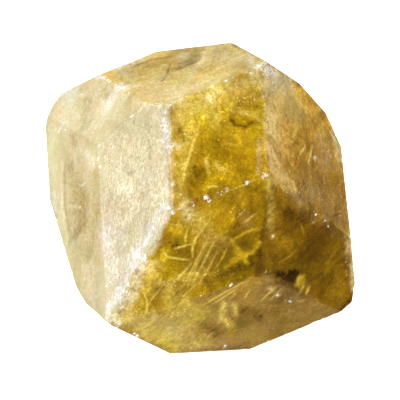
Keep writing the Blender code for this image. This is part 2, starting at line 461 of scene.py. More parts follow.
# Soft clouds: those of the whole stone, then each facet's own, then the touches over them.
# Each row is an ink and its strokes: half width, strength, and the places on its path, each
# one across and down, in picture steps. They are drawn in this order.
CLOUDS = (
    # lights and darks
    ("umber", (10, 0.6, 314, 152, 310, 212), (5, 0.4, 288, 182, 300, 196), (8, 0.75, 266, 286, 298, 294),
     (9, 0.5, 230, 300, 240, 330), (12, 0.6, 324, 152, 318, 200), (8, 0.5, 302, 192, 326, 212),
     (6, 0.45, 226, 308, 232, 318), (8, 0.4, 266, 306, 300, 312), (6, 0.5, 262, 321, 270, 330)),
    ("cream", (8, 0.4, 184, 60, 215, 58, 250, 64), (5, 0.4, 122, 68, 134, 84), (5, 0.5, 140, 262, 128, 284),
     (3.5, 0.6, 163, 224, 146, 250), (8, 0.4, 134, 122, 150, 126), (6, 0.4, 186, 56, 196, 60),
     (5, 0.5, 136, 62, 142, 60)),
    ("olive", (8, 0.55, 200, 156, 236, 164), (5, 0.5, 184, 168, 178, 180),
     (9, 0.4, 202, 158, 232, 160, 244, 178), (7, 0.45, 182, 166, 178, 178), (8, 0.5, 208, 244, 208, 272),
     (7, 0.3, 110, 96, 96, 96)),
    ("bronze", (5, 0.5, 180, 242, 186, 246), (8, 0.7, 208, 252, 210, 290), (6, 0.4, 182, 270, 194, 268),
     (8, 0.6, 266, 246, 266, 272), (8, 0.7, 276, 198, 277, 232), (6, 0.4, 276, 252, 280, 262),
     (5, 0.45, 188, 170, 188, 181), (8, 0.35, 236, 172, 248, 182), (6, 0.5, 226, 192, 232, 192)),
    ("brown", (5, 0.6, 200, 198, 206, 200), (6, 0.5, 246, 218, 244, 226), (6, 0.35, 318, 312, 342, 306),
     (5, 0.7, 286, 286, 296, 288), (7, 0.4, 332, 296, 344, 302), (5, 0.4, 206, 283, 210, 288)),
    ("umber", (8, 0.7, 272, 296, 306, 302), (5, 0.65, 292, 194, 322, 217), (7, 0.5, 204, 256, 212, 262),
     (6, 0.5, 264, 285, 300, 290)),
    ("straw", (9, 0.6, 222, 92, 256, 80), (6, 0.5, 178, 196, 180, 224)),
    ("flaxen", (9, 0.75, 279, 84, 296, 116), (9, 0.7, 148, 330, 176, 346), (6, 0.7, 146, 280, 150, 292)),
    ("honey", (9, 0.5, 284, 126, 284, 152), (4, 0.5, 222, 240, 226, 246), (8, 0.5, 240, 90, 248, 98),
     (6, 0.6, 313, 110, 318, 124)),
    ("lemon", (9, 0.35, 150, 330, 186, 322), (5, 0.8, 50, 150, 53, 205), (4, 0.6, 52, 196, 54, 212)),
    ("flaxen", (8, 0.6, 172, 302, 200, 312), (6, 0.5, 170, 305, 178, 308), (7, 0.7, 182, 320, 202, 318),
     (7, 0.5, 156, 332, 162, 336)),
    ("gold", (11, 0.5, 212, 134, 244, 134), (6, 0.4, 226, 118, 232, 122),
     (4.5, 0.6, 179, 214, 171, 238, 164, 258)),
    ("amber", (6, 0.5, 212, 148, 220, 150), (6, 0.5, 200, 204, 208, 208), (7, 0.7, 200, 201, 211, 203)),
    ("bronze", (7, 0.6, 248, 214, 250, 234), (6, 0.45, 236, 214, 238, 232), (5, 0.6, 202, 197, 212, 195),
     (5, 0.55, 216, 193, 250, 182)),
    ("cream", (7, 0.4, 280, 80, 290, 100), (5, 0.4, 208, 98, 216, 92)),
    ("ivory", (9, 0.5, 80, 236, 98, 306), (7, 0.5, 118, 234, 120, 258)),
    ("sand", (4, 0.6, 348, 236, 350, 258), (6, 0.4, 98, 236, 102, 256)),
    ("umber", (7, 0.6, 336, 190, 342, 222), (6, 0.7, 196, 350, 244, 348), (7, 0.5, 336, 166, 342, 222),
     (6, 0.6, 210, 334, 220, 336)),
    ("flaxen", (5, 0.5, 154, 264, 146, 282), (6, 0.6, 184, 190, 186, 216), (7, 0.5, 186, 300, 196, 322)),
    ("honey", (12, 0.8, 276, 88, 290, 116), (8, 0.65, 296, 104, 302, 122)),
    ("wheat", (11, 0.6, 150, 86, 184, 82), (8, 0.6, 283, 92, 290, 114)),
    ("flaxen", (6, 0.7, 252, 64, 255, 84), (5, 0.7, 175, 104, 176, 120)),
    ("cream", (4, 0.7, 112, 316, 118, 322)),
    ("sand", (7, 0.5, 130, 316, 146, 318), (4, 0.7, 337, 142, 341, 158)),
    ("amber", (6, 0.4, 242, 202, 246, 206)),
    ("brown", (5, 0.4, 248, 216, 248, 228), (4, 0.6, 296, 196, 318, 209)),
    ("tan", (7, 0.9, 190, 351, 238, 352)),
    ("moss", (6, 0.4, 136, 310, 146, 300)),
    ("wheat", (7, 0.8, 268, 80, 283, 84, 272, 98)),
    ("straw", (6, 0.55, 180, 122, 183, 160)),
    ("lemon", (7, 0.4, 82, 240, 86, 276)),
    ("white", (6, 0.4, 65, 94, 70, 99)),
    ("flaxen", (8, 0.5, 158, 322, 164, 342)),
    # table
    ("straw", (7, 0.45, 178, 106, 205, 96, 228, 84), (9, 0.25, 190, 108, 189, 150, 182, 172)),
    ("cream", (5, 0.6, 168, 104, 180, 99), (2.5, 0.6, 167, 160, 173, 164)),
    ("amber", (14, 0.35, 228, 130, 250, 150, 240, 170)),
    ("brown", (4, 0.4, 214, 140, 222, 150, 206, 146), (4, 0.45, 241, 104, 258, 107),
     (3.6, 0.9, 222, 186, 226, 189)),
    ("straw", (8, 0.2, 212, 98, 214, 118), (3, 0.4, 216, 166, 224, 170)),
    ("olive", (7, 0.55, 193, 160, 201, 178, 190, 192), (5, 0.4, 240, 172, 252, 166)),
    ("gold", (5, 0.5, 240, 137, 240, 147), (3, 0.6, 202, 188, 207, 190)),
    ("brown", (4, 0.55, 194, 168, 198, 175), (2.6, 0.8, 231, 119, 236, 125, 244, 127, 251, 123, 258, 122),
     (4.2, 1.0, 212, 193, 214, 190)),
    ("straw", (2, 0.5, 206, 160, 208, 172), (3, 0.6, 180, 180, 177, 196)),
    ("olive", (5, 0.4, 246, 118, 236, 112), (4, 0.4, 172, 176, 176, 190)),
    ("white", (4, 0.6, 164, 112, 165, 134, 168, 148)),
    ("olive", (6, 0.5, 173, 112, 182, 136)),
    ("brown", (3.5, 0.5, 180, 131, 182, 140)),
    ("straw", (2.5, 0.6, 240, 112, 250, 114, 258, 118)),
    ("cream", (2.4, 0.7, 174, 144, 178, 147)),
    # front
    ("brown", (6, 0.55, 223, 246, 224, 258, 230, 266), (6, 0.7, 170, 242, 178, 248, 189, 254),
     (4, 0.6, 206, 284, 222, 276, 236, 268, 252, 264, 262, 268)),
    ("olive", (7, 0.6, 165, 280, 156, 296, 150, 311), (6, 0.5, 181, 262, 184, 268)),
    ("straw", (9, 0.5, 186, 208, 204, 222), (6, 0.6, 168, 288, 172, 300),
     (5, 0.45, 136, 276, 138, 300, 126, 316), (4, 0.5, 150, 262, 146, 282)),
    ("amber", (10, 0.55, 215, 222, 250, 198), (8, 0.4, 206, 203, 196, 196), (5, 0.5, 194, 292, 210, 286)),
    ("gold", (6, 0.4, 209, 207, 216, 212), (5, 0.45, 171, 228, 181, 232)),
    ("olive", (6, 0.5, 220, 198, 231, 200), (5, 0.5, 200, 240, 190, 265)),
    ("brown", (4.5, 0.6, 245, 211, 252, 211), (5, 0.6, 240, 219, 235, 228, 231, 235)),
    ("olive", (7, 0.6, 246, 240, 240, 246)),
    ("brown", (5, 0.6, 262, 236, 257, 252, 246, 266)),
    ("gold", (2.2, 0.8, 231, 240, 240, 252, 247, 263), (3, 0.6, 236, 252, 244, 258),
     (2.4, 0.9, 226, 267, 235, 260, 243, 256, 253, 252, 259, 243)),
    ("straw", (8, 0.35, 178, 290, 198, 272, 212, 250), (3.6, 0.6, 269, 182, 271, 205, 270, 232)),
    ("moss", (4, 0.5, 137, 292, 138, 306)),
    ("brown", (2.2, 0.5, 207, 264, 214, 249, 219, 242)),
    ("straw", (2.0, 0.7, 134, 272, 133, 290, 131, 305, 129, 320)),
    # front right
    ("olive", (9, 0.5, 276, 256, 284, 262, 320, 280)),
    ("black", (3.4, 1.0, 279, 275, 286, 274, 297, 272), (3.2, 1.0, 284, 279, 293, 277),
     (2.8, 1.0, 285, 283, 292, 282)),
    ("amber", (12, 0.35, 332, 250, 336, 285), (6, 0.5, 281, 196, 294, 204)),
    ("brown", (6, 0.8, 286, 211, 294, 220, 303, 217), (2.6, 0.6, 290, 232, 297, 249),
     (3.0, 0.5, 322, 272, 322, 292), (3, 0.8, 268, 274, 277, 272)),
    ("gold", (2.6, 0.6, 301, 205, 308, 208), (2.6, 1.0, 298, 284, 302, 277, 301, 286)),
    ("amber", (7, 0.5, 276, 236, 288, 246)),
    ("tan", (3, 0.5, 271, 279, 264, 276)),
    # side right
    ("sand", (7, 0.85, 270, 88, 272, 120, 272, 150, 278, 176), (5, 0.5, 284, 176, 300, 204)),
    ("tan", (9, 0.4, 322, 195, 335, 225), (6, 0.4, 300, 176, 312, 192)),
    ("white", (5, 0.7, 264, 67, 273, 76)),
    ("flaxen", (6, 0.5, 280, 80, 286, 100)),
    ("apricot", (13, 0.5, 308, 100, 315, 135)),
    ("tan", (8, 0.45, 322, 138, 326, 160)),
    ("gold", (2.0, 0.7, 290, 109, 295, 99, 298, 91)),
    ("olive", (2.0, 0.5, 313, 150, 313, 166)),
    ("brown", (2.4, 0.45, 296, 182, 300, 196)),
    ("amber", (2.0, 0.6, 334, 174, 332, 184)),
    ("straw", (2.0, 0.6, 293, 183, 295, 190)),
    # front foot
    ("straw", (12, 0.5, 140, 328, 180, 330, 200, 344), (6, 0.4, 160, 318, 182, 310),
     (3.6, 0.7, 224, 304, 223, 310)),
    ("brown", (6, 0.5, 204, 324, 216, 332), (5, 0.45, 238, 308, 262, 316)),
    ("straw", (3.2, 0.7, 235, 306, 236, 313), (4.0, 0.8, 222, 318, 231, 326)),
    ("amber", (4, 0.4, 232, 292, 262, 280), (2, 0.4, 240, 322, 230, 336)),
    ("olive", (5, 0.3, 272, 312, 290, 320)),
    ("tan", (6, 0.5, 284, 286, 294, 294)),
    ("flaxen", (2.2, 0.7, 166, 311, 176, 306, 188, 303)),
    # crown back
    ("cream", (2.4, 0.7, 187, 78, 194, 72), (5, 0.35, 170, 94, 200, 86, 230, 76)),
    ("olive", (3.6, 0.45, 157, 86, 166, 75, 180, 66, 198, 56)),
    ("tan", (8, 0.22, 180, 55, 225, 47), (7, 0.35, 122, 74, 150, 66)),
    ("cream", (7, 0.35, 210, 50, 240, 56), (6, 0.5, 158, 98, 150, 92)),
    ("straw", (3.0, 0.5, 122, 80, 150, 78)),
    ("cream", (8, 0.3, 122, 70, 136, 88)),
    # crown left: its pale bands are partly painted sheen
    ("white", (3.0, 0.95, 116, 91, 121, 86), (4, 0.5, 108, 104, 113, 98)),
    ("sand", (9, 0.4, 84, 102, 108, 92, 134, 104)),
    ("cream", (5, 0.5, 64, 104, 60, 98), (5, 0.6, 112, 98, 103, 112, 95, 126)),
    ("white", (2.0, 0.8, 123, 88, 127, 86), (2.0, 0.6, 98, 77, 104, 78)),
    ("tan", (8, 0.2, 90, 104, 84, 126)),
    ("cream", (2.0, 0.5, 74, 103, 78, 116)),
    # side left: its long pale bands are partly painted sheen
    ("lemon", (8, 0.75, 50, 122, 50, 160, 54, 200, 63, 238, 73, 276)),
    ("tan", (7, 0.42, 74, 168, 80, 200, 82, 216, 75, 236), (4, 0.4, 72, 136, 78, 160)),
    ("sand", (9, 0.5, 76, 180, 84, 230, 88, 290)),
    ("tan", (7, 0.18, 86, 250, 92, 280, 92, 310), (3.5, 0.35, 84, 196, 84, 218, 78, 232)),
    ("sand", (5, 0.5, 96, 170, 98, 220, 98, 260)),
    ("cream", (5, 0.6, 84, 150, 94, 164), (2.0, 0.5, 70, 206, 80, 208)),
    # front left
    ("sand", (8, 0.12, 126, 126, 112, 170), (5, 0.12, 145, 125, 152, 150)),
    # painted pinkish sheen on the matt facet
    ("rose", (8, 0.4, 108, 200, 113, 232)),
    ("lilac", (6, 0.4, 146, 226, 150, 234)),
    ("rose", (7, 0.3, 142, 236, 136, 250)),
    ("ivory", (9, 0.6, 112, 256, 122, 296), (6, 0.4, 136, 246, 128, 262)),
    ("white", (3.5, 0.6, 165, 206, 150, 232, 136, 256), (3.2, 0.7, 133, 263, 122, 286, 110, 308),
     (2.0, 0.5, 146, 262, 140, 258)),
    ("cream", (9, 0.5, 130, 176, 122, 190)),
    ("tan", (2.0, 0.35, 150, 142, 150, 158), (3.0, 0.2, 124, 166, 132, 172)),
    # last lights and darks
    ("cream", (5, 0.5, 122, 66, 130, 64), (5, 0.4, 186, 206, 188, 214), (6, 0.4, 81, 268, 90, 290),
     (3, 0.6, 156, 238, 150, 252), (6, 0.4, 184, 58, 194, 60), (5, 0.6, 249, 62, 256, 79),
     (5, 0.4, 74, 150, 76, 178), (6, 0.45, 84, 238, 88, 264), (5, 0.4, 95, 95, 100, 101),
     (5, 0.4, 122, 94, 124, 106), (4, 0.5, 158, 238, 150, 250)),
    ("bronze", (5, 0.5, 204, 201, 224, 190), (5, 0.4, 246, 212, 246, 226), (4, 0.6, 287, 201, 297, 208),
     (7, 0.35, 196, 250, 226, 243), (7, 0.5, 206, 253, 212, 276), (5, 0.4, 226, 258, 230, 264),
     (5, 0.4, 220, 186, 224, 198), (4, 0.3, 166, 250, 172, 262), (5, 0.4, 182, 270, 190, 278)),
    ("umber", (3, 0.6, 307, 284, 308, 296), (4, 0.9, 196, 352, 242, 351), (5, 0.5, 308, 318, 320, 316),
     (5, 0.55, 292, 196, 322, 216), (5, 0.4, 304, 150, 310, 164), (4, 0.5, 244, 214, 246, 226),
     (4, 0.4, 314, 212, 320, 218), (5, 0.6, 206, 351, 240, 350), (4, 0.4, 320, 322, 344, 310)),
    ("flaxen", (5, 0.5, 228, 100, 234, 110), (6, 0.5, 160, 328, 168, 332), (7, 0.5, 154, 330, 164, 332),
     (6, 0.45, 196, 108, 202, 110), (5, 0.4, 182, 334, 188, 342), (4, 0.4, 164, 112, 168, 116)),
    ("wheat", (4, 0.6, 149, 264, 150, 270), (5, 0.6, 278, 76, 286, 84), (5, 0.5, 286, 94, 300, 116),
     (5, 0.5, 230, 87, 244, 82), (5, 0.45, 287, 96, 294, 112), (9, 0.2, 182, 112, 212, 100)),
    ("white", (6, 0.5, 66, 92, 71, 92), (3, 0.5, 54, 194, 56, 210), (4, 0.4, 250, 58, 254, 66)),
    ("ivory", (6, 0.4, 118, 236, 121, 254), (6, 0.5, 116, 232, 120, 254), (5, 0.3, 148, 172, 146, 206)),
    ("brown", (3, 0.8, 197, 200, 208, 197), (5, 0.5, 206, 284, 211, 288), (4, 0.4, 304, 208, 314, 212)),
    ("bronze", (3, 0.6, 214, 194, 226, 190), (6, 0.55, 202, 199, 212, 205), (5, 0.5, 218, 193, 250, 182),
     (4, 0.5, 200, 206, 206, 196), (5, 0.4, 216, 194, 224, 188), (4, 0.4, 308, 154, 312, 158),
     (5, 0.4, 248, 216, 248, 228), (4, 0.5, 318, 202, 318, 220)),
    ("honey", (6, 0.4, 198, 232, 222, 240), (3, 0.6, 172, 144, 172, 198), (4, 0.3, 152, 262, 162, 266)),
    ("sand", (5, 0.6, 131, 313, 138, 317), (2.2, 0.9, 351.5, 246, 353, 290)),
    ("cream", (5, 0.5, 116, 312, 121, 306), (6, 0.45, 268, 90, 284, 80), (5, 0.4, 112, 238, 122, 250)),
    # the lilac strokes here are painted sheen
    ("lilac", (4, 0.5, 107, 226, 108, 256), (4, 0.3, 100, 222, 100, 248), (2.5, 0.15, 259, 140, 259, 172)),
    ("gold", (4, 0.5, 240, 140, 250, 139), (4, 0.5, 242, 196, 244, 202)),
    ("black", (3.0, 0.95, 279, 274, 288, 277, 297, 273), (2.6, 0.9, 284, 280, 293, 281)),
    ("olive", (5, 0.5, 158, 82, 167, 72)),
    ("moss", (7, 0.5, 150, 296, 157, 307)),
    ("flaxen", (4, 0.5, 154, 278, 158, 284), (5, 0.5, 148, 274, 150, 290)),
    ("brown", (3.5, 0.8, 277, 283, 294, 286)),
    ("gold", (2.0, 0.9, 297, 285, 300, 279)),
    ("umber", (5, 0.55, 274, 289, 304, 296), (4, 0.6, 302, 284, 304, 294), (4, 0.5, 246, 214, 247, 228)),
    ("brown", (4, 0.35, 305, 276, 305, 296), (3, 0.35, 298, 290, 304, 296)),
    ("sand", (8, 0.5, 150, 80, 168, 78)),
    ("wheat", (9, 0.55, 144, 92, 178, 80), (6, 0.6, 287, 96, 294, 112)),
    ("cream", (5, 0.5, 279, 80, 284, 82), (5, 0.4, 276, 76, 284, 90)),
    ("bronze", (5, 0.5, 136, 312, 142, 312)),
    ("moss", (7, 0.5, 146, 298, 172, 306), (6, 0.5, 134, 310, 144, 314)),
    ("cream", (4, 0.55, 141, 270, 138, 284, 132, 298), (4, 0.6, 141, 272, 139, 284),
     (4, 0.4, 133, 286, 129, 300)),
    ("flaxen", (5, 0.5, 166, 300, 172, 308), (7, 0.4, 152, 328, 164, 338)),
    ("bronze", (6, 0.5, 150, 300, 158, 310), (5, 0.5, 134, 312, 140, 316), (5, 0.4, 148, 304, 162, 300),
     (5, 0.35, 148, 300, 158, 304), (5, 0.4, 140, 308, 150, 314), (4, 0.3, 130, 320, 134, 320)),
    ("straw", (6, 0.35, 213, 116, 215, 124)),
    ("honey", (4, 0.3, 292, 110, 296, 120)),
    ("sand", (6, 0.4, 146, 92, 164, 96)),
    ("wheat", (9, 0.4, 150, 84, 196, 78), (6, 0.4, 140, 98, 162, 98)),
    ("flaxen", (5, 0.4, 168, 308, 172, 314)),
    ("wheat", (8, 0.4, 154, 322, 186, 338)),
)

# Fractures, fibres and needles, which are drawn over the clouds in the same way.
LINES = (
    # table
    ("straw", (1.28, 0.85, 200, 121, 196, 135, 192, 150, 188, 160, 184, 172, 182, 186),
     (0.96, 0.6, 185, 174, 181, 190, 180, 197), (0.96, 0.5, 222, 146, 229, 143, 236, 146)),
    ("flaxen", (0.96, 0.95, 208, 187, 214, 186, 218, 187),
     (0.96, 0.7, 195, 128, 193, 141, 189, 157, 182, 170), (0.96, 0.45, 223, 193, 242, 186, 262, 177)),
    ("gold", (1.04, 0.6, 189, 184, 195, 192)),
    # front
    ("straw", (0.88, 0.7, 245, 222, 252, 216, 258, 213), (0.88, 0.5, 238, 217, 246, 208),
     (1.2, 0.7, 176, 281, 186, 270, 192, 262), (1.12, 0.75, 184, 285, 196, 262, 203, 248, 209, 238),
     (1.12, 0.7, 192, 285, 204, 262, 211, 247, 216, 241), (0.96, 0.6, 199, 284, 210, 266, 217, 252),
     (1.12, 0.6, 170, 224, 181, 226), (0.96, 0.5, 180, 300, 192, 288, 200, 280)),
    ("flaxen", (0.88, 0.5, 187, 285, 199, 262, 206, 248, 212, 240),
     (1.12, 0.9, 188, 228, 186, 236, 185, 243), (1.12, 0.9, 175, 249, 184, 246, 192, 244),
     (1.2, 0.9, 192, 258, 193, 246, 196, 238, 202, 230),
     (1.04, 0.9, 162, 250, 168, 257, 180, 259, 190, 260),
     (1.12, 0.8, 143, 262, 141, 275, 143, 290, 147, 300, 147, 310, 143, 319)),
    ("gold", (1.44, 0.8, 232, 241, 245, 233, 252, 230, 260, 229),
     (0.96, 0.7, 227, 248, 222, 258, 215, 270)),
    ("olive", (1.44, 0.6, 196, 272, 202, 258, 207, 246)),
    ("straw", (0.8, 0.8, 162, 287, 152, 299, 148, 306)),
    ("cream", (1.28, 0.9, 273, 235, 273, 237)),
    # front right
    ("gold", (0.88, 0.5, 301, 224, 304, 236), (0.8, 0.4, 278, 263, 290, 256, 296, 250),
     (1.12, 0.8, 310, 286, 306, 294), (0.96, 0.7, 304, 285, 300, 293)),
    ("brown", (1.2, 0.7, 299, 259, 308, 249, 318, 239, 327, 231), (1.28, 0.7, 307, 261, 317, 252),
     (1.04, 0.5, 303, 240, 311, 235)),
    ("olive", (0.96, 0.6, 264, 262, 270, 256)),
    ("straw", (1.28, 0.9, 300, 276, 298, 282)),
    # side right
    ("straw", (0.96, 0.6, 300, 88, 301, 100), (0.88, 0.7, 303, 140, 305, 147, 299, 156),
     (0.88, 0.7, 312, 145, 310, 158, 308, 163), (0.88, 0.5, 286, 150, 290, 162, 298, 172),
     (0.96, 0.5, 322, 122, 327, 128)),
    ("brown", (1.44, 0.6, 291, 146, 295, 143, 299, 144), (1.28, 0.5, 302, 180, 306, 190),
     (0.8, 0.6, 332, 217, 342, 212), (0.88, 0.4, 276, 92, 281, 84), (1.12, 0.6, 297, 83, 301, 86)),
    ("flaxen", (1.2, 0.9, 297, 108, 295, 118, 297, 127, 293, 137), (0.88, 0.7, 291, 107, 295, 98)),
    ("cream", (1.2, 0.8, 315, 156, 315, 159), (1.04, 0.7, 330, 131, 335, 141, 338, 150)),
    ("amber", (1.28, 0.5, 338, 186, 339, 192)),
    ("olive", (0.8, 0.4, 296, 172, 303, 160, 308, 150)),
    # front foot
    ("straw", (0.88, 0.6, 210, 306, 224, 297, 238, 288), (0.88, 0.7, 244, 299, 250, 290),
     (0.8, 0.6, 270, 300, 281, 289), (0.8, 0.5, 228, 301, 236, 293), (0.8, 0.5, 298, 302, 306, 299),
     (0.8, 0.5, 183, 342, 192, 330, 202, 322), (0.8, 0.5, 206, 338, 214, 332)),
    ("flaxen", (1.04, 0.8, 168, 316, 182, 312, 192, 304),
     (0.96, 0.8, 203, 305, 215, 298, 230, 290, 240, 284, 249, 281),
     (0.96, 0.8, 261, 301, 268, 294, 276, 287)),
    ("white", (1.12, 0.8, 277, 295, 279, 295), (1.04, 0.7, 289, 301, 291, 302),
     (0.96, 0.7, 224, 347, 226, 345)),
    ("sand", (1.8, 0.8, 268, 288, 273, 290)),
    # crown back
    ("brown", (1.12, 0.5, 160, 84, 168, 73, 170, 64), (0.96, 0.4, 176, 70, 200, 60),
     (1.12, 0.5, 232, 44, 240, 49)),
    ("cream", (1.2, 0.8, 160, 66, 168, 65), (0.96, 0.6, 209, 52, 216, 47)),
    ("straw", (0.96, 0.6, 150, 86, 180, 80, 212, 70)),
    ("gold", (1.12, 0.5, 228, 56, 233, 51)),
    ("olive", (0.88, 0.4, 130, 68, 150, 60, 172, 56)),
    # crown left
    ("white", (1.28, 0.5, 63, 124, 58, 133)),
    # side left
    ("cream", (1.2, 0.7, 62, 160, 62, 204, 67, 240)),
    ("tan", (1.28, 0.4, 65, 164, 65, 204, 70, 238)),
    ("white", (0.96, 0.5, 79, 184, 82, 186, 86, 182)),
    # front left
    ("white", (1.28, 0.9, 131, 273, 134, 267, 140, 268)),
)

# Patches of white crumbs: how dense, half width, half height, and how far across and down.
CRUMBS = (
    (0.52, 4, 18, 165, 125), (0.32, 2, 14, 165, 146), (0.2, 1.5, 22, 168, 188), (0.46, 9, 4, 158, 106),
    (0.34, 10, 5, 178, 102), (0.52, 7, 6, 261, 68), (0.42, 7, 8, 270, 73), (0.3, 2, 30, 266, 108),
    (0.3, 4, 12, 261, 122), (0.22, 3, 30, 265, 150), (0.3, 7, 5, 184, 204), (0.33, 12, 13, 246, 104),
    (0.31, 9, 7, 190, 136), (0.24, 12, 9, 200, 218), (0.32, 13, 9, 178, 281), (0.36, 3, 3, 194, 205),
    (0.38, 1.6, 1.6, 226, 179), (0.4, 1.6, 1.6, 238, 165), (0.38, 2, 2, 261, 176), (0.32, 2, 1.6, 243, 186),
    (0.3, 2, 2, 233, 188), (0.5, 1.8, 2.2, 181, 194), (0.3, 8, 7, 236, 213), (0.28, 6, 5, 214, 236),
    (0.28, 6, 6, 170, 268), (0.31, 5, 6, 163, 281), (0.34, 3, 6, 264, 227), (0.3, 5, 4, 265, 272),
    (0.46, 4, 8, 134, 277), (0.36, 3, 14, 141, 258), (0.46, 4, 12, 120, 302), (0.48, 5, 6, 109, 314),
    (0.34, 10, 8, 124, 320), (0.26, 18, 6, 220, 274), (0.3, 7, 4, 315, 213), (0.45, 2.4, 2, 326, 221),
    (0.32, 8, 3, 312, 222), (0.32, 4, 20, 346, 268), (0.26, 7, 10, 300, 190), (0.17, 26, 26, 310, 200),
    (0.45, 4, 4, 120, 88), (0.26, 16, 2, 200, 88), (0.28, 18, 2, 236, 78), (0.42, 3, 3, 101, 146),
    (0.34, 2.4, 40, 104, 222), (0.2, 20, 44, 88, 200), (0.3, 26, 60, 136, 190), (0.15, 40, 20, 190, 74),
    (0.34, 5, 2, 82, 95), (0.22, 20, 8, 178, 312), (0.28, 10, 4, 290, 300), (0.24, 10, 4, 190, 300),
    (0.4, 3, 2, 278, 295), (0.15, 40, 50, 220, 140), (0.13, 50, 50, 210, 250), (0.42, 8, 1.6, 134, 268),
    (0.34, 3, 26, 154, 226), (0.34, 14, 3, 136, 122), (0.38, 2.2, 2.2, 70, 206), (0.34, 12, 3, 66, 130),
    (0.36, 2, 2, 93, 157), (0.4, 2, 2, 290, 301), (0.4, 2, 2, 225, 346), (0.3, 3, 40, 340, 190),
)

WAVER = 0.5 * MM                # size of the bends in a stroke's edge
PATCH = 0.3 * MM                # size of the thick and thin places in a stroke
LARGEST_BEND = 4.5              # in picture steps
FAINTEST = 0.01                 # a fainter trace of a stroke isn't drawn


def wavering(spots, size, seed):
    """Smooth noise from -1 to 1 at many points."""
    offset = Vector((seed, -2.3 * seed, 1.7 * seed))
    return np.array([noise.fractal(Vector(spot) / size + offset, 1.0, 2.0, 3) for spot in spots])


def draw(values, at, share, ink):
    """Mix an ink into the haze, mottling and colour of the points."""
    tone, opaque, mottled = INKS[ink]
    share = np.clip(share, 0.0, 1.0)[:, None]
    values[at, HAZE:ETCHED] += share * (np.array((opaque, mottled)) - values[at, HAZE:ETCHED])
    values[at, TONE] += share * (np.array(tone) - values[at, TONE])


def draw_strokes(values, numbers, places, spots):
    """Draw the clouds and then the lines, which fade towards their ends.

    The wider a stroke is, the more its rim wanders and the patchier it is.
    """
    ragged = np.stack((wavering(spots, WAVER, 1.0), wavering(spots, WAVER, 9.0)), axis=1)
    patchy = wavering(spots, PATCH, 4.0)
    for drawing, fading in ((CLOUDS, 0.0), (LINES, 0.6)):
        for ink, width, strength, path in strokes_of(drawing):
            moved = places + ragged * min(LARGEST_BEND, 0.3 * width ** 1.45)
            along, away = along_and_away(moved, path)
            faded = 1.0 - fading * abs(2.0 * along - 1.0) ** 3
            uneven = 1.0 + min(1.0, 0.25 + 0.15 * width) * patchy
            share = strength * faded * np.exp(-(away / width) ** 2) * uneven
            near = share > FAINTEST
            draw(values, numbers[near], share[near], ink)


def draw_crumbs(bruise, numbers, places):
    """Bruise the skin where crumbs lie close together."""
    dense = np.zeros(len(places))
    for strength, wide, high, across, down in CRUMBS:
        away = ((places[:, 0] - across) / wide) ** 2 + ((places[:, 1] - down) / high) ** 2
        dense = np.maximum(dense, strength * np.exp(-0.7 * away))
    bruise[numbers] = np.maximum(bruise[numbers], dense)


def draw_the_inside(source, faces, points, values, bruise):
    """Draw what shows in the stone on the facets that face the view."""
    front = [faces_the_view(face) for face in source.faces]
    numbers = np.array(sorted({number for corner, face in faces if front[face] for number in corner}))
    spots = np.array([points[number][:] for number in numbers])
    places = pictured(spots)
    draw_strokes(values, numbers, places, spots)
    draw_crumbs(bruise, numbers, places)


def number_layer(data, name, values):
    layer = data.attributes.new(name, "FLOAT", "POINT")
    layer.data.foreach_set("value", np.ascontiguousarray(values, dtype=np.float32))


def color_layer(data, name, values):
    layer = data.attributes.new(name, "FLOAT_COLOR", "POINT")
    rgba = np.ones((len(values), 4), dtype=np.float32)
    rgba[:, :3] = values
    layer.data.foreach_set("color", rgba.ravel())


def keep_the_looks(data, values, bruise):
    """Keep the looks on the mesh's points. The colour is what the skin needs in its light."""
    number_layer(data, "bruise", bruise)
    for name, column in (("frost", FROST), ("haze", HAZE), ("mottled", MOTTLED), ("etch", ETCHED)):
        number_layer(data, name, values[:, column])
    tone = values[:, TONE] / values[:, LIGHT:FROST]
    color_layer(data, "tone", tone * np.minimum(1.0, BRIGHTEST / tone.max(axis=1))[:, None])


def build_crystal(source):
    """The stone itself, in place of the CAD solid."""
    points, faces = fine_mesh(source)
    triangles = np.array([corner for corner, _ in faces])
    spots, bruise, edge = wear_the_edges(points, triangles, crease_points(source))
    values = facet_values(source, faces, len(points))
    # rubbed haze along the edges, partly a painted highlight
    values[:, HAZE] += edge * (EDGE_HAZE_AND_HIGHLIGHT - values[:, HAZE])
    draw_the_inside(source, faces, points, values, bruise)
    data = bpy.data.meshes.new("crystal")
    data.from_pydata(spots.tolist(), [], triangles.tolist())
    keep_the_looks(data, values, bruise)
    data.shade_smooth()
    data.set_sharp_from_angle(angle=SHARP)
    data.materials.append(crystal_material())
    crystal = bpy.data.objects.new("crystal", data)
    bpy.context.scene.collection.objects.link(crystal)
    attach(crystal, "root")
    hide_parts("garnet")


# ---------------------------------------------------------------- shader nodes

def node_kit(name):
    material = bpy.data.materials.new(name)
    material.use_nodes = True
    tree = material.node_tree
    tree.nodes.clear()
    return material, tree


def add(tree, kind, inputs=(), **settings):
    """A new node, with its inputs linked or set by name or number."""
    node = tree.nodes.new(kind)
    for key, value in settings.items():
        setattr(node, key, value)
    for key, value in dict(inputs).items():
        socket = node.inputs[key]
        if isinstance(value, bpy.types.NodeSocket):
            tree.links.new(value, socket)
        else:
            socket.default_value = value
    return node


def ramp_of(tree, factor, stops):
    """A colour ramp with the given (position, colour) stops."""
    ramp = add(tree, "ShaderNodeValToRGB", {"Fac": factor})
    elements = ramp.color_ramp.elements
    while len(elements) < len(stops):
        elements.new(0.5)
    for element, (position, color) in zip(elements, stops):
        element.position = position
        element.color = (*color, 1.0)
    return ramp.outputs["Color"]


def noise_of(tree, place, scale, detail=4.0, roughness=0.55, distortion=0.0):
    inputs = {"Vector": place, "Scale": scale, "Detail": detail,
              "Roughness": roughness, "Distortion": distortion}
    return add(tree, "ShaderNodeTexNoise", inputs).outputs["Fac"]


def math_of(tree, operation, *values):
    return add(tree, "ShaderNodeMath", dict(enumerate(values)), operation=operation).outputs[0]


def product_of(tree, a, b):
    return math_of(tree, "MULTIPLY", a, b)


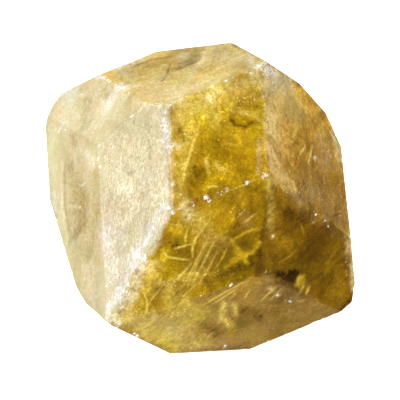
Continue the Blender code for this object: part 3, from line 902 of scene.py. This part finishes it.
def added(tree, value, factor, base):
    """A base value with a share of another on top."""
    return math_of(tree, "MULTIPLY_ADD", value, factor, base)


def centred(tree, value):
    """A noise value around 0 in place of 0.5."""
    return math_of(tree, "SUBTRACT", value, 0.5)


def mix_of(tree, factor, a, b):
    return add(tree, "ShaderNodeMix", {"Factor": factor, "A": a, "B": b}, data_type="RGBA").outputs["Result"]


def tinted(tree, color, tint, factor=1.0):
    """A colour multiplied by a tint, or partly so."""
    return add(tree, "ShaderNodeMix", {"Factor": factor, "A": color, "B": tint},
               data_type="RGBA", blend_type="MULTIPLY").outputs["Result"]


def gamma_of(tree, color, gamma):
    return add(tree, "ShaderNodeGamma", {"Color": color, "Gamma": gamma}).outputs[0]


def attribute_of(tree, name, output="Fac"):
    return add(tree, "ShaderNodeAttribute", attribute_name=name).outputs[output]


def clamp_of(tree, value, low=0.0, high=1.0):
    return add(tree, "ShaderNodeClamp", {"Value": value, "Min": low, "Max": high}).outputs[0]


def spread_of(tree, value, low, high, to_low=0.0, to_high=1.0, kind="SMOOTHSTEP"):
    """A number spread from one range to another."""
    inputs = {"Value": value, "From Min": low, "From Max": high, "To Min": to_low, "To Max": to_high}
    return add(tree, "ShaderNodeMapRange", inputs, interpolation_type=kind).outputs["Result"]


def surfaced(tree, shader, volume=None):
    """Make a shader the material's surface, with a volume behind it if there is one."""
    out = add(tree, "ShaderNodeOutputMaterial")
    tree.links.new(shader.outputs[0], out.inputs["Surface"])
    if volume:
        tree.links.new(volume.outputs[0], out.inputs["Volume"])


# ---------------------------------------------------------------- the crystal's material

# Noise in the skin: scale per millimetre, detail, roughness and distortion.
TEXTURES = {
    "patches": (0.28, 9.0, 0.56, 0.7),
    "streaks": (1.0, 5.0, 0.6, 0.5),
    "grains": (1.9, 6.0, 0.68, 0.3),
    "hues": (0.45, 6.0, 0.6, 0.4),
    "tints": (2.4, 4.0, 0.65, 0.5),
    "dust": (6.0, 3.0, 0.7, 0.0),
    "fibres": (1.0, 6.0, 0.78, 1.6),
    "specks": (4.6, 3.0, 0.6, 0.0),
    "pits": (0.6, 5.0, 0.6, 0.8),
}
# How finely a texture is combed across the stone and along it, per millimetre.
COMBS = {"streaks": (3.4, 0.5), "fibres": (5.0, 1.3), "pale hairs": (2.4, 0.7), "dark hairs": (-2.0, 0.6)}
# Thin lines: scale and thickness.
FILAMENTS = {"pale hairs": (1.0, 0.030), "dark hairs": (1.0, 0.016),
             "pale cracks": (0.55, 0.014), "dark cracks": (-0.7, 0.010)}
PATCH_SHARE, GRAIN_SHARE, STREAK_SHARE = 0.68, 0.20, 0.12   # of the mottling
DUST, MOTTLED_DUST = 0.12, 2.0      # how much dust there is everywhere, and more where mottled
FIBRES, HAIRS, DARK_HAIRS = 2.05, 0.36, -0.8
CRACKS, DARK_CRACKS = 0.7, -0.7

# Colour stops: how far the haze darkens and lightens, how its hue wanders over the whole
# stone, and how it wanders over matt facets.
DEPTHS = ((0.32, (0.22, 0.155, 0.04)), (0.42, (0.65, 0.565, 0.30)), (0.50, (1.0, 1.0, 1.0)),
          (0.58, (1.22, 1.29, 1.7)), (0.70, (1.42, 1.63, 3.0)))
HUES = ((0.34, (1.035, 0.965, 0.88)), (0.50, (1.0, 1.0, 1.0)), (0.66, (0.97, 1.02, 0.92)))
TINTS = ((0.36, (1.06, 0.975, 0.96)), (0.50, (1.0, 1.0, 1.0)), (0.64, (0.985, 1.0, 0.92)))
DEEPENING = (0.93, 1.2, 2.0)    # how fast red, green and blue go as the haze darkens
CRUSHED_WHITE = (1.0, 0.97, 0.90, 1.0)
BODY_COLOR = (0.93, 0.82, 0.05, 1.0)
BODY_DENSITY = 200.0            # of the volume absorption, per metre

POLISH = 0.05                   # roughness of the polished skin
FROST_ROUGHNESS = 0.30          # what frost adds to it
CRUSHED_ROUGHNESS = 0.45        # what a crushed speck adds to it
MOST_HAZE = 0.97
LEAST_CLEAR = 0.03
PIT_DEPTH = 0.8 * MM


def texture_of(tree, place, name):
    return noise_of(tree, place, *TEXTURES[name])


def combed(tree, place, name):
    """Places for a texture that runs along the stone's upright direction in the view."""
    fine, coarse = COMBS[name]
    axes = (Vector((fine, 0.0, 0.0)), TOWARDS * fine, UP * coarse)
    parts = [add(tree, "ShaderNodeVectorMath", {0: place, 1: axis}, operation="DOT_PRODUCT").outputs["Value"]
             for axis in axes]
    return add(tree, "ShaderNodeCombineXYZ", dict(zip("XYZ", parts))).outputs[0]


def filaments_of(tree, place, name):
    """Thin wandering lines, 1 on a line and 0 away from it."""
    scale, thickness = FILAMENTS[name]
    wander = noise_of(tree, place, scale, 3.0, 0.55, 1.2)
    off = math_of(tree, "ABSOLUTE", centred(tree, wander))
    return spread_of(tree, off, 0.0, thickness, 1.0, 0.0, "LINEAR")


def mottling(tree, place, grains, mottled):
    """Broad patches, grains and upright streaks, around 0.5."""
    patches = texture_of(tree, place, "patches")
    mottle = added(tree, patches, PATCH_SHARE, product_of(tree, grains, GRAIN_SHARE))
    mottle = added(tree, texture_of(tree, combed(tree, place, "streaks"), "streaks"), STREAK_SHARE, mottle)
    return added(tree, centred(tree, mottle), mottled, 0.5)


def uneven_tone(tree, place, frost):
    """The skin's own colour, a little redder or greener from place to place."""
    tone = attribute_of(tree, "tone", "Color")
    hues = ramp_of(tree, texture_of(tree, place, "hues"), HUES)
    tints = ramp_of(tree, texture_of(tree, place, "tints"), TINTS)
    return tinted(tree, tinted(tree, tone, hues), tints, frost)


def dust_and_fibres(tree, place, frost, mottled):
    """How light the haze is, around 1: dust everywhere, fibres and hairs on matt facets."""
    dust = texture_of(tree, place, "dust")
    light = added(tree, centred(tree, dust), added(tree, mottled, MOTTLED_DUST, DUST), 1.0)
    fibres = texture_of(tree, combed(tree, place, "fibres"), "fibres")
    light = added(tree, product_of(tree, centred(tree, fibres), frost), FIBRES, light)
    pale, dark = (filaments_of(tree, combed(tree, place, name), name)
                  for name in ("pale hairs", "dark hairs"))
    hairs = added(tree, dark, DARK_HAIRS, pale)
    return added(tree, product_of(tree, hairs, frost), HAIRS, light)


def healed_cracks(tree, place, grains, mottled):
    """Broken pale and dark lines where healed cracks reach the skin."""
    pale, dark = (filaments_of(tree, place, name) for name in ("pale cracks", "dark cracks"))
    cracks = product_of(tree, added(tree, dark, DARK_CRACKS, pale), mottled)
    return product_of(tree, cracks, spread_of(tree, grains, 0.42, 0.58))


def haze_color(tree, tone, mottle, light):
    """The colour of the haze. It deepens as it darkens, since light goes further there."""
    deep = tinted(tree, tone, ramp_of(tree, mottle, DEPTHS))
    light = math_of(tree, "MAXIMUM", light, 0.05)
    powers = [math_of(tree, "POWER", light, power) for power in DEEPENING]
    shades = add(tree, "ShaderNodeCombineXYZ", dict(zip("XYZ", powers))).outputs[0]
    return add(tree, "ShaderNodeVectorMath", {0: deep, 1: shades}, operation="MULTIPLY").outputs[0]


def haze_cover(tree, mottle, grains, haze, mottled):
    """How much of the skin is haze and how much is clear."""
    cover = added(tree, centred(tree, mottle), 2.6, 0.97)
    cover = added(tree, grains, product_of(tree, mottled, 0.5), cover)
    cover = added(tree, mottled, -0.25, cover)
    return clamp_of(tree, product_of(tree, cover, haze), 0.0, MOST_HAZE)


def crushed_specks(tree, place, bruise):
    """White specks where the edges are bruised, 1 inside a speck."""
    specks = texture_of(tree, place, "specks")
    crushed = math_of(tree, "ADD", bruise, added(tree, specks, 2.0, -1.0))
    near_a_bruise = spread_of(tree, bruise, 0.0, 0.15)
    return product_of(tree, spread_of(tree, crushed, 0.38, 0.66), near_a_bruise)


def skin_normal(tree, place, grains, frost, etch):
    """Growth pits on the etched facets and a fine grain on the matt ones."""
    pits = texture_of(tree, place, "pits")
    height = product_of(tree, pits, added(tree, etch, 1.0, 0.02))
    height = added(tree, grains, added(tree, frost, 0.05, 0.006), height)
    bump = add(tree, "ShaderNodeBump", {"Height": height, "Strength": 1.0, "Distance": PIT_DEPTH})
    return bump.outputs["Normal"]


def crystal_material():
    """Clear crystal under a hazy, mottled skin, with white specks on the bruised edges."""
    material, tree = node_kit("garnet_crystal")
    metres = add(tree, "ShaderNodeTexCoord").outputs["Object"]
    place = add(tree, "ShaderNodeVectorMath", {0: metres, "Scale": 1.0 / MM}, operation="SCALE").outputs[0]
    bruise, frost = attribute_of(tree, "bruise"), attribute_of(tree, "frost")
    haze, etch, mottled = (attribute_of(tree, name) for name in ("haze", "etch", "mottled"))
    grains = texture_of(tree, place, "grains")
    mottle = mottling(tree, place, grains, mottled)
    tone = uneven_tone(tree, place, frost)
    light = dust_and_fibres(tree, place, frost, mottled)
    light = added(tree, healed_cracks(tree, place, grains, mottled), CRACKS, light)
    hazy = haze_cover(tree, mottle, grains, haze, mottled)
    crushed = crushed_specks(tree, place, bruise)

    color = mix_of(tree, hazy, gamma_of(tree, tone, 0.85), haze_color(tree, tone, mottle, light))
    pale = mix_of(tree, spread_of(tree, bruise, 0.36, 0.55), gamma_of(tree, tone, 0.5), CRUSHED_WHITE)
    color = mix_of(tree, crushed, color, pale)
    clear = math_of(tree, "SUBTRACT", math_of(tree, "SUBTRACT", 1.0, hazy), crushed)
    shader = add(tree, "ShaderNodeBsdfPrincipled", {
        "Base Color": color,
        "Roughness": added(tree, crushed, CRUSHED_ROUGHNESS, added(tree, frost, FROST_ROUGHNESS, POLISH)),
        "IOR": REFRACTION,
        "Transmission Weight": clamp_of(tree, clear, LEAST_CLEAR),
        "Normal": skin_normal(tree, place, grains, frost, etch)})
    body = add(tree, "ShaderNodeVolumeAbsorption", {"Color": BODY_COLOR, "Density": BODY_DENSITY})
    surfaced(tree, shader, body)
    return material


# ---------------------------------------------------------------- inside the stone

VEIL_COLORS = ((0.35, (0.60, 0.40, 0.02)), (0.55, (0.92, 0.70, 0.12)), (0.7, (0.98, 0.86, 0.40)))


def veil_points(centre, normal, radius, seed):
    """Rings of points on a crumpled sheet with a ragged rim, from its middle outwards."""
    normal = normal.normalized()
    across = normal.orthogonal().normalized()
    up = normal.cross(across) * random.Random(seed).uniform(0.55, 1.0)
    rings = []
    for ring in range(VEIL_RINGS + 1):
        points = []
        for spoke in range(VEIL_SPOKES if ring else 1):
            turn = 2.0 * math.pi * spoke / VEIL_SPOKES
            ragged = noise.noise(Vector((math.cos(turn) * 1.7, math.sin(turn) * 1.7, seed * 3.1)))
            out = radius * ring / VEIL_RINGS * (1.0 + 0.35 * ragged)
            flat = centre + across * math.cos(turn) * out + up * math.sin(turn) * out
            folds = bumpy(flat, radius * 0.8, seed) + 0.45 * bumpy(flat, radius * 0.22, seed + 5.0)
            points.append(flat + normal * VEIL_CRUMPLE * folds * radius)
        rings.append(points)
    return rings


def veil_mesh(name, rings):
    """A sheet on rings of points: triangles in the middle and four-sided faces further out."""
    mesh = bmesh.new()
    rows = [[mesh.verts.new(point) for point in ring] for ring in rings]
    for spoke in range(VEIL_SPOKES):
        after = (spoke + 1) % VEIL_SPOKES
        mesh.faces.new((rows[0][0], rows[1][spoke], rows[1][after]))
        for inner, outer in zip(rows[1:], rows[2:]):
            mesh.faces.new((inner[spoke], outer[spoke], outer[after], inner[after]))
    data = bpy.data.meshes.new(name)
    mesh.to_mesh(data)
    mesh.free()
    data.shade_smooth()
    return data


def inside_stone(point, margin):
    """Whether a point is at least a margin under the surface."""
    spot, normal, _, away = skin.find_nearest(point)
    return (point - spot).dot(normal) < 0.0 and away > margin


def veil_material():
    """A golden film in ragged patches."""
    material, tree = node_kit("veil")
    place = add(tree, "ShaderNodeTexCoord").outputs["Object"]
    fine = noise_of(tree, place, 900.0, 6.0, 0.65, 0.5)
    patches = added(tree, noise_of(tree, place, 300.0, 5.0, 0.6, 0.3), 3.0, -1.35)
    shader = add(tree, "ShaderNodeBsdfPrincipled", {
        "Base Color": ramp_of(tree, noise_of(tree, place, 500.0, 6.0, 0.65), VEIL_COLORS),
        "Roughness": 0.35,
        "Alpha": clamp_of(tree, product_of(tree, patches, added(tree, fine, 1.5, 0.1)), 0.0, 0.85)})
    surfaced(tree, shader)
    return material


def build_veils():
    """Healed fractures at random places, kept where they fit wholly inside the stone."""
    material = veil_material()
    rng = random.Random(3)
    made = 0
    while made < VEILS:
        centre = Vector([rng.uniform(*span) for span in VEIL_REGION]) * MM
        radius = rng.uniform(*VEIL_RADII) * MM
        if not inside_stone(centre, radius * VEIL_DEPTH):
            continue
        normal = Vector([rng.gauss(0, 1) for _ in range(3)])
        data = veil_mesh(f"veil_{made:02d}", veil_points(centre, normal, radius, made + 1))
        if not all(inside_stone(vertex.co, VEIL_MARGIN) for vertex in data.vertices):
            continue
        data.materials.append(material)
        item = bpy.data.objects.new(data.name, data)
        bpy.context.scene.collection.objects.link(item)
        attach(item, "root")
        made += 1


# ---------------------------------------------------------------- stage, light and camera

FLOOR_RADIUS = 0.6
GLOW = 1.1                      # how brightly the white floor glows in the open
PAINTED_SHADOW_GLOW = 0.05               # and under the stone, in a painted shadow where no light would reach
# the painted shadow is full within the first radius and gone beyond the second
PAINTED_SHADOW_RADIUS, OPEN_RADIUS = 5.5 * MM, 10.5 * MM

# Each soft light: where it is, its width and height, and how bright it looks, with 1 as
# white. All of them face the middle of the stone.
LIGHTS = {
    "left": (Vector((-0.12, -0.02, 0.03)), (0.20, 0.12), 1.6),
    "front": (MIDDLE + direction(-75.0, 56.0) * 0.35, (0.22, 0.22), 3.0),
    "top": (MIDDLE + direction(-110.0, 72.0) * 0.35, (0.22, 0.22), 3.0),
    "top_left": (Vector((-0.09, 0.10, 0.16)), (0.14, 0.14), 2.5),
    "back": (MIDDLE + direction(115.0, 65.0) * 0.30, (0.20, 0.20), 1.5),
}
WORLD_LIGHT = 0.02
LENS, SENSOR = 220.3, 36.0      # in millimetres, as Blender takes them
CENTRE = 200.0                  # the middle of the picture, across and down


def floor_material():
    """White and aglow, with a painted shadow under the stone where the glow fades."""
    material, tree = node_kit("pale_floor")
    place = add(tree, "ShaderNodeTexCoord").outputs["Object"]
    away = add(tree, "ShaderNodeVectorMath", {0: place, 1: BASE_MIDDLE}, operation="DISTANCE")
    # painted shadow: the floor's glow fades almost to nothing under the stone
    glow = spread_of(tree, away.outputs["Value"], PAINTED_SHADOW_RADIUS, OPEN_RADIUS, PAINTED_SHADOW_GLOW, GLOW)
    shader = add(tree, "ShaderNodeBsdfPrincipled", {
        "Base Color": (0.9, 0.9, 0.9, 1.0), "Roughness": 0.9,
        "Emission Color": WHITE, "Emission Strength": glow})
    surfaced(tree, shader)
    return material


def build_floor():
    mesh = bmesh.new()
    bmesh.ops.create_circle(mesh, cap_ends=True, segments=96, radius=FLOOR_RADIUS)
    data = bpy.data.meshes.new("floor")
    mesh.to_mesh(data)
    mesh.free()
    data.materials.append(floor_material())
    floor = bpy.data.objects.new("floor", data)
    floor.visible_glossy = False
    bpy.context.scene.collection.objects.link(floor)


def area_light(name, at, size, radiance):
    light = bpy.data.lights.new(name, "AREA")
    light.shape = "RECTANGLE"
    light.size, light.size_y = size
    light.energy = radiance * math.pi * size[0] * size[1]
    item = bpy.data.objects.new(name, light)
    item.location = at
    item.rotation_euler = (MIDDLE - at).to_track_quat("-Z", "Y").to_euler()
    item.visible_camera = False
    bpy.context.scene.collection.objects.link(item)


def build_lights():
    for name, (at, size, radiance) in LIGHTS.items():
        area_light(name, at, size, radiance)
    world = bpy.data.worlds.new("studio")
    world.use_nodes = True
    background = world.node_tree.nodes["Background"]
    background.inputs["Color"].default_value = WHITE
    background.inputs["Strength"].default_value = WORLD_LIGHT
    bpy.context.scene.world = world


def build_camera():
    data = bpy.data.cameras.new("camera")
    data.lens = LENS
    data.sensor_width = SENSOR
    camera = bpy.data.objects.new("camera", data)
    across = Vector(((CENTRE - MIDDLE_ACROSS) * STEP, 0.0, 0.0))
    aim = MIDDLE + across - UP * (CENTRE - MIDDLE_DOWN) * STEP
    camera.location = aim + TOWARDS * VIEW_DISTANCE
    camera.rotation_euler = TOWARDS.to_track_quat("Z", "Y").to_euler()
    bpy.context.scene.collection.objects.link(camera)
    bpy.context.scene.camera = camera


source = flat_faces("garnet")
skin = BVHTree.FromBMesh(source)
battered_stretches = [(surface_at(*start), surface_at(*end), amount) for start, end, amount in BATTERED]
build_crystal(source)
build_veils()
build_floor()
build_lights()
build_camera()
bpy.context.scene.view_settings.view_transform = "Standard"
